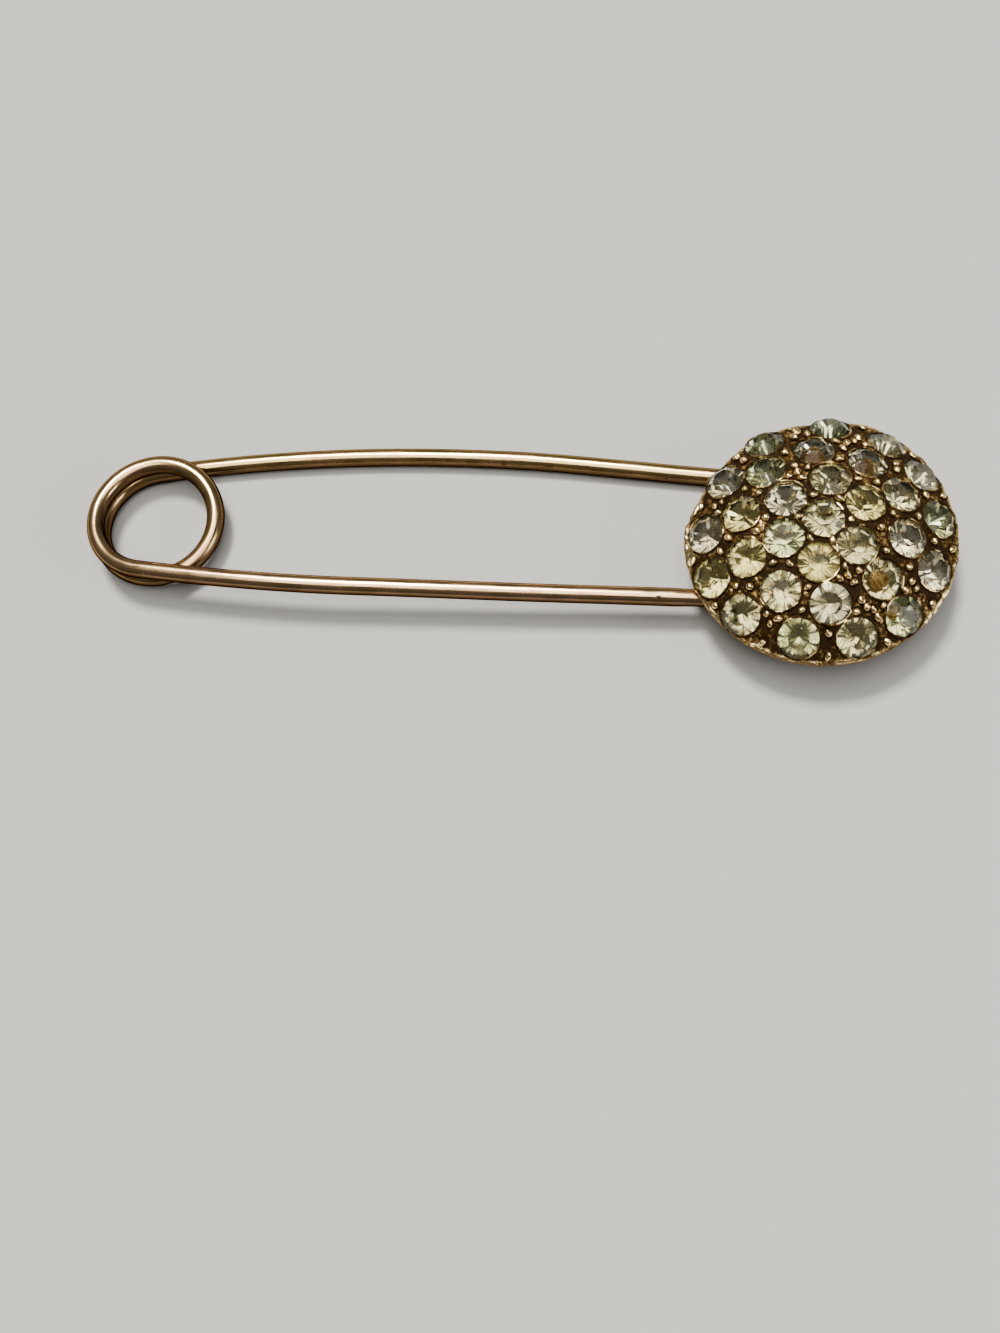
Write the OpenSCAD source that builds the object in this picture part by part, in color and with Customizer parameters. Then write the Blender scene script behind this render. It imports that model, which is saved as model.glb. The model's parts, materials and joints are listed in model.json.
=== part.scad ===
// Safety pin brooch: one bent wire carries a domed head set with round cut stones.
// It lies on its back. X runs from the coil towards the head, Y across the two legs, Z up from the surface below,
// and the origin is on that surface, below the middle of the brooch.

/* [Wire] */
// Diameter of the wire
wire_d = 1.6; // [1.3:0.1:1.9]
// Diameter of the coil, between the wire's centres
coil_d = 10.8; // [9.6:0.1:12]
// Gap between neighbouring turns of the coil
turn_gap = 0.2; // [0.1:0.05:0.4]

/* [Back leg] */
// Angle at which the leg leaves the coil, outwards
leg_lean = 11; // [9:0.2:12]
// Angle that the leg's bow turns through
leg_turn = 14.4; // [12:0.2:16]
// Length of the leg's bow
leg_bow = 38; // [32:1:42]
// How far the leg runs past the head's axis
leg_past = 6; // [5:0.5:7]

/* [Pin stem] */
// Angle at which the stem leaves the coil, outwards
stem_lean = 5; // [4:0.2:6]
// Angle that the stem's bow turns through
stem_turn = 7; // [6:0.2:8]
// Roll of the stem's bow, which lets the stem down towards the catch
stem_roll = 20; // [16:1:22]
// Length of the stem's bow
stem_bow = 20; // [16:1:24]
// Length of the point's taper
point_len = 18.6; // [16:0.2:20]
// Diameter at the very tip
tip_d = 0.26; // [0.2:0.02:0.4]
// How far the tip reaches past the head's axis
stem_past = 6.8; // [6:0.1:7.4]

/* [Head] */
// Distance from the coil's axis to the head's axis
reach = 58.5; // [54:0.5:64]
// Diameter of the head
head_d = 22.6; // [22.4:0.1:24]
// Height of the dome's metal above its rim
dome_h = 4.4; // [4:0.1:4.8]
// Thickness of the rim's edge
rim_t = 0.35; // [0.2:0.05:0.6]
// Thickness of the dome's wall
wall = 1.9; // [1.8:0.05:2.4]
// Height of the rim above the surface
rim_z = 3.9; // [3.6:0.1:4.6]

/* [Stones] */
// Diameter of a stone
stone_d = 3.3; // [3:0.02:3.3]
// Diameter of a stone's table
table_d = 1.9; // [1.5:0.1:2.2]
// Height of a stone's crown, above its girdle
crown_h = 0.5; // [0.4:0.05:0.7]
// Thickness of a stone's girdle
girdle_t = 0.12; // [0.08:0.02:0.2]
// Depth of a stone's pavilion, below its girdle
pavilion_h = 1.3; // [1:0.05:1.35]
// How far the girdle is sunk into the metal
sink = 0.2; // [0.15:0.05:0.25]
// Clearance between a stone and its seat
seat_gap = 0.04; // [0.03:0.01:0.05]
// Diameter of a raised grain of metal
grain_d = 0.56; // [0.4:0.02:0.6]
// Bare metal between three stones, past which three grains stand there in place of one
wide_room = 0.8; // [0.6:0.05:1]

/* [Back of the head] */
// Width of the rib that holds the leg
rib_w = 2.6; // [2.2:0.1:3.2]
// Length of the rib
rib_len = 8; // [6:0.5:10]
// Clearance between the leg and its groove in the rib
leg_gap = 0.05; // [0.03:0.01:0.1]
// Length of the catch, along the stem
catch_len = 3; // [2.4:0.1:3.4]
// Thickness of the catch's wall
catch_wall = 0.9; // [0.7:0.05:1.1]
// Radius of the catch's bore
catch_r = 1; // [0.9:0.05:1.1]
// Clearance each side of the stem in the catch's mouth
mouth_gap = 0.1; // [0.06:0.01:0.15]
// Length of stem that stands out of the catch's far side
tip_out = 0.5; // [0.3:0.1:1]

/* [Opening] */
// Slope of the stem's way out of the catch, down from level
mouth_slope = 3; // [2:0.5:6]

/* [Hidden] */
// Stones of each ring: [azimuth round the head's axis from +X, distance from that axis as a share of the head's radius]
INNER = [[83, 0.333], [27, 0.333], [-37, 0.307], [-94, 0.33], [-151, 0.312], [-210, 0.314]];
MIDDLE = [
    [97, 0.605], [59, 0.605], [26, 0.624], [-7, 0.609], [-43, 0.598],
    [-83, 0.618], [-118, 0.603], [-152, 0.605], [-186, 0.592], [-224, 0.592]];
OUTER = [
    [87, 0.856], [58, 0.875], [35, 0.875], [10, 0.858], [-18, 0.855], [-46, 0.872], [-71, 0.861],
    [-99, 0.853], [-129, 0.875], [-153, 0.875], [-176, 0.838], [-207, 0.8], [-238, 0.822]];
// Distance from the axis of the grains beside the rim, as a share of the head's radius
RIM_GRAIN = 0.945;
// Distance from the axis within which grains stand between three stones, as a share of the head's radius
OUTER_EDGE = 0.84;

// How far a clump's grains are moved apart, as a share of the way to the gap between two stones
GRAIN_SPREAD = 0.4;
// Grains smaller than this are left out
least_grain_r = 0.12;
// How far a cut runs on past what it cuts
over = 1;

wire_r = wire_d / 2;
coil_r = coil_d / 2;
pitch = wire_d + turn_gap;
head_r = head_d / 2;
stone_r = stone_d / 2;
$fn = 64;

// The axes of the coil and of the head stand as far either side of the origin as their rims need
coil_x = (coil_r + wire_r - reach - head_r) / 2;
head_x = coil_x + reach;

// The coil is three half turns, each in a plane tilted about the diameter's cross line, so they meet smoothly
half_tilt = asin(pitch / 4 / coil_r);
half_y = coil_r * cos(half_tilt);
function half_z(k) = wire_r + pitch / 4 + k * pitch / 2;

// A point turned about Z or X by an angle
function turn_z(a, p) = [p.x * cos(a) - p.y * sin(a), p.x * sin(a) + p.y * cos(a), p.z];
function turn_x(a, p) = [p.x, p.y * cos(a) - p.z * sin(a), p.y * sin(a) + p.z * cos(a)];
// Radius of a bend from its length and angle, and the place s past its end
function bend_r(length, turn) = length / (turn * PI / 180);
function past(length, turn, s) = let (r = bend_r(length, turn))
    [r * sin(turn) + s * cos(turn), r * (1 - cos(turn)) + s * sin(turn), 0];

// Places on the straight part of the leg and of the stem, s past their bows, in the model's frame
function leg_point(s) = [coil_x, 0, 0] + turn_z(leg_lean, [0, half_y, wire_r] + past(leg_bow, -leg_turn, s));
stem_exit = 270 - leg_lean - stem_lean;
function stem_point(s) = [coil_x, 0, 0] + turn_z(leg_lean, [0, 0, half_z(2)] + turn_x(-half_tilt,
    coil_r * [cos(stem_exit), sin(stem_exit), 0]
    + turn_z(stem_exit + 90, turn_x(-stem_roll, past(stem_bow, stem_turn, s)))));
// Distance past a bow at which a straight part reaches a given x
function leg_to(x) = (x - leg_point(0).x) / (leg_point(1).x - leg_point(0).x);
function stem_to(x) = (x - stem_point(0).x) / (stem_point(1).x - stem_point(0).x);

leg_len = leg_to(head_x + leg_past);
stem_len = stem_to(head_x + stem_past) - point_len;

// The dome is part of a sphere that meets the rim's edge
dome_rise = dome_h - rim_t;
dome_r = (head_r * head_r + dome_rise * dome_rise) / 2 / dome_rise;
dome_z = rim_z + dome_h - dome_r;

// A place on the dome is [azimuth, lean from the head's axis]; its aim is the unit vector along the dome's normal there
function place(spot) = [spot[0], asin(spot[1] * head_r / dome_r)];
function aim(p) = [sin(p[1]) * cos(p[0]), sin(p[1]) * sin(p[0]), cos(p[1])];
function unit(v) = v / norm(v);
STONES = [for (spot = concat([[0, 0]], INNER, MIDDLE, OUTER)) place(spot)];
AIMS = [for (p = STONES) aim(p)];
function numbered(name, row) = [for (i = [1 : len(row)]) str(name, "_", i)];
STONE_NAMES = concat(["stone_centre"], numbered("stone_inner", INNER),
    numbered("stone_middle", MIDDLE), numbered("stone_outer", OUTER));

// Bare metal round a spot of the dome: from there to the wall of the nearest seat
function room(v) = dome_r * min([for (a = AIMS) acos(min(1, a * v))]) * PI / 180 - stone_r - seat_gap;
// The spot equally far from three stones, and whether no other stone lies nearer to it
function middle_of(a, b, c) = let (n = cross(b - a, c - a)) unit(n.z < 0 ? -n : n);
function bare(v, a) = min([for (other = AIMS) a * v - other * v]) > -0.0001;
// A wide spot holds three grains, each moved towards the gap between two of the stones, and a narrow one holds one
function spread(v, p, q) = unit(v + (unit(p + q) - v) * GRAIN_SPREAD);
function clump(v, a, b, c) = room(v) < wide_room ? [v] : [spread(v, a, b), spread(v, b, c), spread(v, a, c)];
function within(v, share) = norm([v.x, v.y]) * dome_r < share * head_r;
last = len(AIMS) - 1;
BETWEEN = [for (i = [0 : last - 2], j = [i + 1 : last - 1], k = [j + 1 : last])
    let (v = middle_of(AIMS[i], AIMS[j], AIMS[k]))
        if (within(v, OUTER_EDGE) && bare(v, AIMS[i])) each clump(v, AIMS[i], AIMS[j], AIMS[k])];
BESIDE_RIM = [for (i = [0 : len(OUTER) - 1])
    let (after = OUTER[(i + 1) % len(OUTER)][0] - (i == len(OUTER) - 1 ? 360 : 0))
        aim(place([(OUTER[i][0] + after) / 2, RIM_GRAIN]))];
// Each grain: [aim, radius], as large as the bare metal allows
GRAINS = [for (v = concat(BETWEEN, BESIDE_RIM)) let (r = min(grain_d / 2, room(v) - seat_gap))
    if (r > least_grain_r) [v, r]];

// Children placed in the frame of the leg's start, over the coil's axis
module at_coil() {
    translate([coil_x, 0, 0]) rotate([0, 0, leg_lean]) children();
}

// A wire's bend that starts at the origin along +X and turns left for a positive angle, and children at its end
module bend(length, turn) {
    r = bend_r(length, turn);
    translate(past(length, turn, 0)) rotate([0, 0, turn]) {
        translate([0, r, 0])
            rotate_extrude(angle = abs(turn), start = turn > 0 ? -90 - turn : 90)
                translate([abs(r), 0]) circle(r = wire_r);
        children();
    }
}

// A straight rod or cone along +X
module rod(length, r1, r2) {
    rotate([0, 90, 0]) cylinder(h = length, r1 = r1, r2 = r2);
}

// A half ball that ends a rod along +X
module round_end(r) {
    intersection() {
        sphere(r = r);
        translate([0, -r, -r]) cube([r, 2 * r, 2 * r]);
    }
}

// One arc of the coil in the plane of half turn k
module coil_arc(k, from, angle) {
    at_coil() translate([0, 0, half_z(k)]) rotate([k == 1 ? half_tilt : -half_tilt, 0, 0])
        rotate_extrude(angle = angle, start = from) translate([coil_r, 0]) circle(r = wire_r);
}

module coil() color("goldenrod") {
    coil_arc(0, 90, 180);
    coil_arc(1, -90, 180);
    coil_arc(2, 90, stem_exit - 90);
}

module back_leg() color("goldenrod")
    at_coil() translate([0, half_y, wire_r])
        bend(leg_bow, -leg_turn) {
            rod(leg_len, wire_r, wire_r);
            translate([leg_len, 0, 0]) round_end(wire_r);
        }

module pin_stem() color("goldenrod")
    at_coil() translate([0, 0, half_z(2)]) rotate([-half_tilt, 0, 0]) rotate([0, 0, stem_exit])
        translate([coil_r, 0, 0]) rotate([-stem_roll, 0, 90])
            bend(stem_bow, stem_turn) {
                rod(stem_len, wire_r, wire_r);
                translate([stem_len, 0, 0]) rod(point_len, wire_r, tip_d / 2);
                translate([stem_len + point_len, 0, 0]) round_end(tip_d / 2);
            }

// Children carried to a place on the dome, with +Z along its normal
module on_dome(p) {
    translate([head_x, 0, dome_z]) rotate([0, 0, p[0]]) rotate([0, p[1], 0]) translate([0, 0, dome_r]) children();
}

// A seat: a straight wall for the girdle and a cone for the pavilion, larger than the stone by the clearance
module seat() {
    r = stone_r + seat_gap;
    top = sink + crown_h;
    translate([0, 0, -sink]) rotate_extrude() polygon([[0, -pavilion_h - seat_gap], [r, 0], [r, top], [0, top]]);
}

module dome_shell() {
    intersection() {
        translate([head_x, 0, rim_z]) cylinder(h = dome_h, r = head_r, $fn = 128);
        translate([head_x, 0, dome_z]) difference() {
            sphere(r = dome_r, $fn = 128);
            sphere(r = dome_r - wall, $fn = 128);
        }
    }
}

// The rib over the leg and the catch round the stem's point, trimmed to end inside the dome's wall
module back_work() {
    leg_mid = leg_point(leg_to(head_x));
    rib_top = rim_z + dome_h;
    intersection() {
        translate([head_x, 0, dome_z]) sphere(r = dome_r - wall / 2, $fn = 128);
        union() {
            difference() {
                translate(leg_mid) rotate([0, 0, leg_lean - leg_turn])
                    translate([-rib_len / 2, -rib_w / 2, 0]) cube([rib_len, rib_w, rib_top - wire_r]);
                translate(leg_mid) rotate([0, 0, leg_lean - leg_turn])
                    translate([-rib_len / 2 - over, 0, 0])
                        rod(rib_len + 2 * over, wire_r + leg_gap, wire_r + leg_gap);
            }
            catch_block();
        }
    }
}

// The catch: a lug with a round foot, bored for the stem's point, with a mouth that slopes down and outwards
module catch_block() {
    far_x = head_x + stem_past - tip_out;
    middle = stem_point(stem_to(far_x - catch_len / 2));
    half_w = catch_r + catch_wall;
    widest = tip_d / 2 + (wire_r - tip_d / 2) * (catch_len + tip_out) / point_len;
    mouth_w = 2 * (widest + mouth_gap);
    difference() {
        translate([far_x - catch_len, middle.y, 0]) rotate([90, 0, 90]) linear_extrude(catch_len) {
            translate([0, half_w]) circle(r = half_w);
            translate([-half_w, half_w]) square([2 * half_w, rim_z + dome_h - half_w]);
        }
        translate([far_x - catch_len - over, middle.y, middle.z]) {
            rod(catch_len + 2 * over, catch_r, catch_r);
            rotate([mouth_slope, 0, 0]) translate([0, -2 * half_w, -mouth_w / 2])
                cube([catch_len + 2 * over, 2 * half_w, mouth_w]);
        }
    }
}

// The domed head's metal, with its grains and seats and what is cast on its back
module setting() color("darkgoldenrod")
    difference() {
        union() {
            dome_shell();
            back_work();
            for (g = GRAINS) translate([head_x, 0, dome_z] + dome_r * g[0]) sphere(r = g[1], $fn = 24);
        }
        for (p = STONES) on_dome(p) seat();
    }

// A cut stone: an eight-sided table, a crown of twenty-four facets, a girdle and a pavilion of sixteen facets
module stone() {
    top = girdle_t + crown_h;
    points = concat(
        [for (i = [0 : 7]) [table_d / 2 * cos(45 * i), table_d / 2 * sin(45 * i), top]],
        [for (i = [0 : 15]) [stone_r * cos(22.5 * i), stone_r * sin(22.5 * i), girdle_t]],
        [for (i = [0 : 15]) [stone_r * cos(22.5 * i), stone_r * sin(22.5 * i), 0]],
        [[0, 0, -pavilion_h]]);
    upper = 8;
    lower = 24;
    culet = 40;
    function at(start, i) = start + i % 16;
    faces = concat(
        [[for (i = [7 : -1 : 0]) i]],
        [for (i = [0 : 7]) each [
            [i, at(upper, 2 * i + 1), at(upper, 2 * i)],
            [i, (i + 1) % 8, at(upper, 2 * i + 1)],
            [(i + 1) % 8, at(upper, 2 * i + 2), at(upper, 2 * i + 1)]]],
        [for (i = [0 : 15]) [at(upper, i), at(upper, i + 1), at(lower, i + 1), at(lower, i)]],
        [for (i = [0 : 15]) [culet, at(lower, i), at(lower, i + 1)]]);
    color("palegoldenrod") translate([0, 0, -sink]) polyhedron(points = points, faces = faces);
}

setting();
back_leg();
coil();
pin_stem();
for (i = [0 : len(STONES) - 1])
    on_dome(STONES[i]) stone();
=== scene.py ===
"""Safety pin brooch: a bent gold wire with a spring coil carries a domed, antique gold head paved
with cut stones."""

import json
import math
from itertools import combinations

import bpy
import numpy as np
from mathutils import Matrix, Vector


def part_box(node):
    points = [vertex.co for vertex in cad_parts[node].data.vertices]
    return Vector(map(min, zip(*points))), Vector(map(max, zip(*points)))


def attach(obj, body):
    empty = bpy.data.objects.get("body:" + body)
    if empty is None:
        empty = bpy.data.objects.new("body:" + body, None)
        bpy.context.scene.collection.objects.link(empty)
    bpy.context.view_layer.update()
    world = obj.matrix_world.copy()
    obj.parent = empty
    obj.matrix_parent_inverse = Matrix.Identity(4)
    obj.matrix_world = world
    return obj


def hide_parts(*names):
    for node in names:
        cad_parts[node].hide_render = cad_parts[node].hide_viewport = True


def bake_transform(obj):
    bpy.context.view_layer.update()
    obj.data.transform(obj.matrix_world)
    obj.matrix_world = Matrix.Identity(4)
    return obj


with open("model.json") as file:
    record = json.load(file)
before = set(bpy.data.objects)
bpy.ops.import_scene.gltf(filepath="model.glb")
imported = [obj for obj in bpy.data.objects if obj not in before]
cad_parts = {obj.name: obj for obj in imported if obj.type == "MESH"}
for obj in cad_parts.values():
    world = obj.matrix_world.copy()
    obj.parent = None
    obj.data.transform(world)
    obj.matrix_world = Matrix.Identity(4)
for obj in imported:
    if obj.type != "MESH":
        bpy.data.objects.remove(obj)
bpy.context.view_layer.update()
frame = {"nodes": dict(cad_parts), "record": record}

bl_info = {
    "name": "Safety Pin Brooch",
    "version": (1, 0, 0),
    "blender": (4, 5, 0),
    "location": "View3D > Sidebar > Brooch",
    "description": "Builds a safety pin brooch with a domed head of cut stones",
    "category": "Object",
}

MM = 0.001
TURN = 2 * math.pi
UP = np.array([0.0, 0.0, 1.0])
BODY = "clasp"
MOVING = "stem"
STEM_MOUNT = frame["record"]["mounts"][0]
STONE_NODES = sorted(name for name in frame["nodes"] if name.startswith("stone_"))

# A point's place on the straightened wire, how worn the casting is there, and a stone's tint
WIRE_COORD, RUB, TINT = "wire_coord", "rub", "tint"
ATTRIBUTES = {
    WIRE_COORD: ("FLOAT_VECTOR", "vector"), RUB: ("FLOAT", "value"), TINT: ("FLOAT_COLOR", "color")}

# The mesh's fineness: points round each shape, and rings from its top, edge or end
DOME_SIDES, TOP_RINGS, RIM_RINGS, HOLLOW_RINGS = 440, 150, 6, 24
COLLAR_SIDES, GRAIN_SIDES, GRAIN_RINGS, BALL_RINGS, BAR_RINGS = 80, 20, 11, 8, 9
ROOF_POINTS, GROOVE_POINTS, BORE_POINTS, FOOT_POINTS = 7, 24, 40, 30

# Each casting material's gold, the height of its relief and how much its wear varies
CAST_FINISHES = {
    "cast_dome": ("cast_gold", 0.8, 1.0),
    "cast_relief": ("cast_gold", 0.35, 1.0),
    "cast_back": ("back_gold", 0.6, 0.5),
}

# A collar's profile: share of its width outwards, share of its height, fixed rise in mm, wear
COLLAR_PROFILE = np.array([
    (0.06, 0, -0.4, 0.0), (0.06, 0, -0.03, 0.3), (0.12, 0.7, 0, 0.9), (0.35, 1.0, 0, 1.0),
    (0.65, 0.5, 0, 0.6), (0.95, 0, -0.02, 0.15), (1.25, 0, -0.12, 0.0), (1.25, 0, -0.4, 0.0)])

# Tint of each stone in turn round its ring: c clear, o olive, g green, y yellow
RING_TINTS = {"inner": "oyoygc", "middle": "ccococoyyg", "outer": "googcgogoyccg"}

# Name, kind, place, power, tone, and side in metres or, for the sun, spread
LIGHTS = (
    ("key_light", "SUN", (-0.08, 0.19, 0.42), 5.5, (1.0, 0.95, 0.88), math.radians(14)),
    ("overhead_light", "AREA", (0.0, -0.01, 0.5), 2.3, (1.0, 0.96, 0.9), 0.38),
    ("side_light", "AREA", (0.5, -0.1, 0.25), 1.0, (0.95, 0.97, 1.0), 0.2),
)
LIGHT_TARGET = (0.0, 0.0, 0.003)
SEEN_COLOUR = (0.775, 0.71, 0.635, 1.0)
AMBIENT_COLOUR = (1.0, 0.98, 0.95, 1.0)


# Settings

def size(name, description, mm):
    """A length property, given in millimetres and held in metres."""
    return bpy.props.FloatProperty(
        name=name, description=description, default=mm * MM, min=0.0, precision=5, unit="LENGTH")


def angle(name, description, degrees):
    """An angle property, given in degrees."""
    return bpy.props.FloatProperty(
        name=name, description=description, default=math.radians(degrees), subtype="ANGLE")


def colour(name, description, *rgb):
    """A linear colour property."""
    return bpy.props.FloatVectorProperty(
        name=name, description=description, default=rgb, size=3, min=0.0, max=1.0,
        subtype="COLOR")


class BroochWireSettings(bpy.types.PropertyGroup):
    """Sizes of the one bent wire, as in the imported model."""
    radius: size("Wire radius", "Radius of the wire", STEM_MOUNT["dims"]["r_mm"])
    coil_radius: size("Coil radius", "Radius of the coil, to the wire's centre", 5.4)
    turn_gap: size("Turn gap", "Gap between neighbouring turns of the coil", 0.2)
    leg_lean: angle("Leg lean", "Angle at which the back leg leaves the coil", 11)
    leg_turn: angle("Leg turn", "Angle that the back leg's bow turns through", 14.4)
    leg_bow: size("Leg bow", "Length of the back leg's bow", 38)
    stem_lean: angle("Stem lean", "Angle at which the stem leaves the coil", 5)
    stem_turn: angle("Stem turn", "Angle that the stem's bow turns through", 7)
    stem_roll: angle("Stem roll", "Roll of the stem's bow about its start", 20)
    stem_bow: size("Stem bow", "Length of the stem's bow", 20)
    point_length: size("Point length", "Length of the point's taper", 18.6)
    tip_radius: size("Tip radius", "Radius at the very tip", 0.13)
    ring_step: size("Ring step", "Distance between the mesh's rings along the wire", 0.22)
    sides: bpy.props.IntProperty(
        name="Sides", description="Faces round the wire", default=48, min=12)
    wander: size("Wander", "How far the wire wanders from its true line", 0.02)


class BroochHeadSettings(bpy.types.PropertyGroup):
    """Sizes of the cast head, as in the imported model, and of the relief that its casting shows."""
    reach: size("Reach", "Distance from the coil's axis to the head's axis", 58.5)
    radius: size("Radius", "Radius of the head", 11.3)
    least_radius: size("Least radius", "Radius of the edge where it is trimmed most", 10.25)
    trim_margin: size("Trim margin", "Metal left outside a stone where the edge is trimmed", 0.12)
    trim_start: angle("Trim start", "Azimuth at which the trimmed stretch of edge starts", 72)
    trim_full: angle("Trim full", "Azimuth past which the trim fades out", 150)
    trim_end: angle("Trim end", "Azimuth at which the trimmed stretch of edge ends", 192)
    dome_height: size("Dome height", "Height of the dome's metal above its rim", 4.4)
    rim_thickness: size("Rim thickness", "Thickness of the rim's edge", 0.35)
    rim_height: size("Rim height", "Height of the rim above the surface", 3.9)
    wall: size("Wall", "Thickness of the dome's wall", 1.9)
    roughcast: size("Roughcast", "Height of the casting's uneven skin", 0.05)
    collar_width: size("Collar width", "Width of the raised edge round a stone", 0.18)
    collar_height: size("Collar height", "Height of that edge above the dome", 0.07)
    grain_radius: size("Grain radius", "Radius of a raised grain of metal", 0.33)
    grain_lap: size("Grain lap", "How far a grain laps over the edge of a stone's seat", 0.12)
    grain_rise: size("Grain rise", "How far a grain's centre stands above the dome", 0.06)
    wide_room: size("Wide room", "Bare metal past which three grains stand in place of one", 0.8)
    rib_width: size("Rib width", "Width of the rib over the back leg", 2.6)
    rib_length: size("Rib length", "Length of that rib", 8)
    leg_gap: size("Leg gap", "Clearance between the back leg and its groove", 0.05)
    catch_length: size("Catch length", "Length of the catch along the stem", 3)
    catch_wall: size("Catch wall", "Thickness of the catch's wall", 0.9)
    catch_bore: size("Catch bore", "Radius of the catch's bore", 1)
    tip_out: size("Tip out", "Length of stem past the catch", 0.5)
    mouth_slope: angle("Mouth slope", "Slope of the catch's mouth, down and outwards", 3)
    mouth_width: size("Mouth width", "Width of the catch's mouth", 0.712)


class BroochStoneSettings(bpy.types.PropertyGroup):
    """Proportions of the cut stones."""
    radius: size("Radius", "Radius of a stone's girdle", 1.65)
    table: size("Table", "Radius of the table's corners", 0.9)
    crown: size("Crown", "Height of the crown above the girdle", 0.62)
    girdle: size("Girdle", "Thickness of the girdle", 0.1)
    pavilion: size("Pavilion", "Depth of the pavilion below the girdle", 1.3)
    sink: size("Sink", "How far the girdle's lower edge lies below the dome", 0.16)
    tip_shift: size("Tip shift", "How far a pavilion's point may stand off the axis", 0.07)
    seat_gap: size("Seat gap", "Clearance between a stone and its seat", 0.04)
    lean: angle("Lean", "Most that a stone leans out of true in its seat", 2.5)


class BroochFinishSettings(bpy.types.PropertyGroup):
    """Colours of the finishes."""
    wire_gold: colour("Wire gold", "Polished gold of the wire", 0.70, 0.50, 0.20)
    wire_rose: colour("Wire rose", "Rosier gold towards the point", 0.72, 0.48, 0.25)
    wire_tarnish: colour("Wire tarnish", "Rosy brown where the wire has dulled", 0.36, 0.19, 0.12)
    # wire_shade is painted shade: the dark brown put on the wire's lower side, standing in for shade
    wire_shade: colour("Wire shade", "Dark brown on its unrubbed sides", 0.055, 0.029, 0.015)
    cast_gold: colour("Cast gold", "Gold where the casting is rubbed bright", 0.93, 0.70, 0.33)
    back_gold: colour("Back gold", "Duller gold of the rim's side and the back", 0.42, 0.27, 0.12)
    cast_bronze: colour("Cast bronze", "Middle tone of the casting", 0.20, 0.118, 0.034)
    cast_patina: colour("Cast patina", "Dark brown in its hollows", 0.013, 0.006, 0.0015)
    clear_glass: colour("Clear glass", "Clearest stones, a faint grey", 0.90, 0.90, 0.84)
    olive_glass: colour("Olive glass", "Commonest stones, pale champagne", 0.83, 0.82, 0.61)
    green_glass: colour("Green glass", "Stones that lean to green", 0.75, 0.84, 0.59)
    yellow_glass: colour("Yellow glass", "Stones that lean to gold", 0.89, 0.83, 0.46)
    foil: colour("Foil", "Silver foil behind the stones", 0.80, 0.775, 0.615)
    foil_stain: colour("Foil stain", "Brown that the foil has aged to", 0.30, 0.21, 0.12)
    floor: colour("Floor", "Pale floor", 0.44, 0.435, 0.42)


class BroochStageSettings(bpy.types.PropertyGroup):
    """Camera, floor and surroundings."""
    lens: bpy.props.FloatProperty(
        name="Lens", description="Focal length on a 36 mm sensor", default=41.2, min=10)
    camera_place: bpy.props.FloatVectorProperty(
        name="Camera place", description="Where the camera stands",
        default=(0.0184, -0.0547, 0.1227), subtype="TRANSLATION", unit="LENGTH")
    camera_turn: bpy.props.FloatVectorProperty(
        name="Camera turn", description="How the camera is turned",
        default=tuple(math.radians(a) for a in (19.97, 6.40, 5.6)), subtype="EULER")
    floor_size: size("Floor size", "Length of the floor's side", 12000)
    ambient: bpy.props.FloatProperty(
        name="Ambient", description="Brightness of the plain surroundings", default=0.12,
        min=0.0, max=1.0)


# Shapes worked out as arrays

def about_z(a):
    """Matrix that turns a column vector by a about Z."""
    return np.array([[math.cos(a), -math.sin(a), 0], [math.sin(a), math.cos(a), 0], [0, 0, 1]])


def about_x(a):
    """Matrix that turns a column vector by a about X."""
    return np.array([[1, 0, 0], [0, math.cos(a), -math.sin(a)], [0, math.sin(a), math.cos(a)]])


def unit(v):
    """Each row divided by its length."""
    return v / np.linalg.norm(v, axis=-1, keepdims=True)


def angles_round(sides):
    """Angles of evenly spaced points round a circle."""
    return np.arange(sides) / sides * TURN


def level(a):
    """Unit vectors (cos(a), sin(a), 0)."""
    return np.stack([np.cos(a), np.sin(a), 0 * a], -1)


def leaning(lean, a):
    """Unit vectors that lean from Z towards azimuth a: sin(lean) level(a) + cos(lean) Z."""
    return np.sin(lean)[..., None] * level(a) + np.cos(lean)[..., None] * UP


def arc(centre, radius, start, end, count):
    """Points (x, y) on an arc from angle start to angle end."""
    a = np.linspace(start, end, count)
    return np.stack([centre[0] + radius * np.cos(a), centre[1] + radius * np.sin(a)], -1)


def fade(value, low, high):
    """0 below low, 1 above high and 3t^2 - 2t^3 between."""
    t = np.clip((value - low) / (high - low), 0, 1)
    return t * t * (3 - 2 * t)


def ripple(points, wavelength, seed, waves=24):
    """Smooth noise from about -1 to 1: a sum of plane waves of near that wavelength, with seeded
    directions and phases, divided by the square root of half their number and by 2."""
    rng = np.random.default_rng(seed)
    ways = unit(rng.normal(size=(waves, 3)))
    steps = TURN / (wavelength * rng.uniform(0.7, 1.5, waves))
    phases = rng.uniform(0, TURN, waves)
    return np.sin(points @ (ways * steps[:, None]).T + phases).sum(-1) / math.sqrt(waves / 2) / 2


def ring_faces(rings, sides):
    """Quads between neighbouring closed rings of a grid, its points numbered ring by ring."""
    i = np.arange(rings - 1)[:, None] * sides
    j = np.arange(sides)[None, :]
    k = (j + 1) % sides
    return np.stack([i + j, i + k, i + sides + k, i + sides + j], -1).reshape(-1, 4)


def closed_faces(rings, sides):
    """Faces of a grid of closed rings and of two hubs, numbered after it, that close its ends:
    the quads between the rings and a fan of triangles from each hub."""
    j = np.arange(sides)
    k = (j + 1) % sides
    last = (rings - 1) * sides
    start = np.stack([np.full(sides, rings * sides), j, k], -1)
    end = np.stack([np.full(sides, rings * sides + 1), last + k, last + j], -1)
    return [ring_faces(rings, sides)[:, ::-1], start, end]


def repeated(faces, count, points):
    """The same faces on each of count copies of a shape with so many points."""
    starts = (np.arange(count) * points)[:, None, None]
    return (faces + starts).reshape(-1, faces.shape[1])


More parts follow.
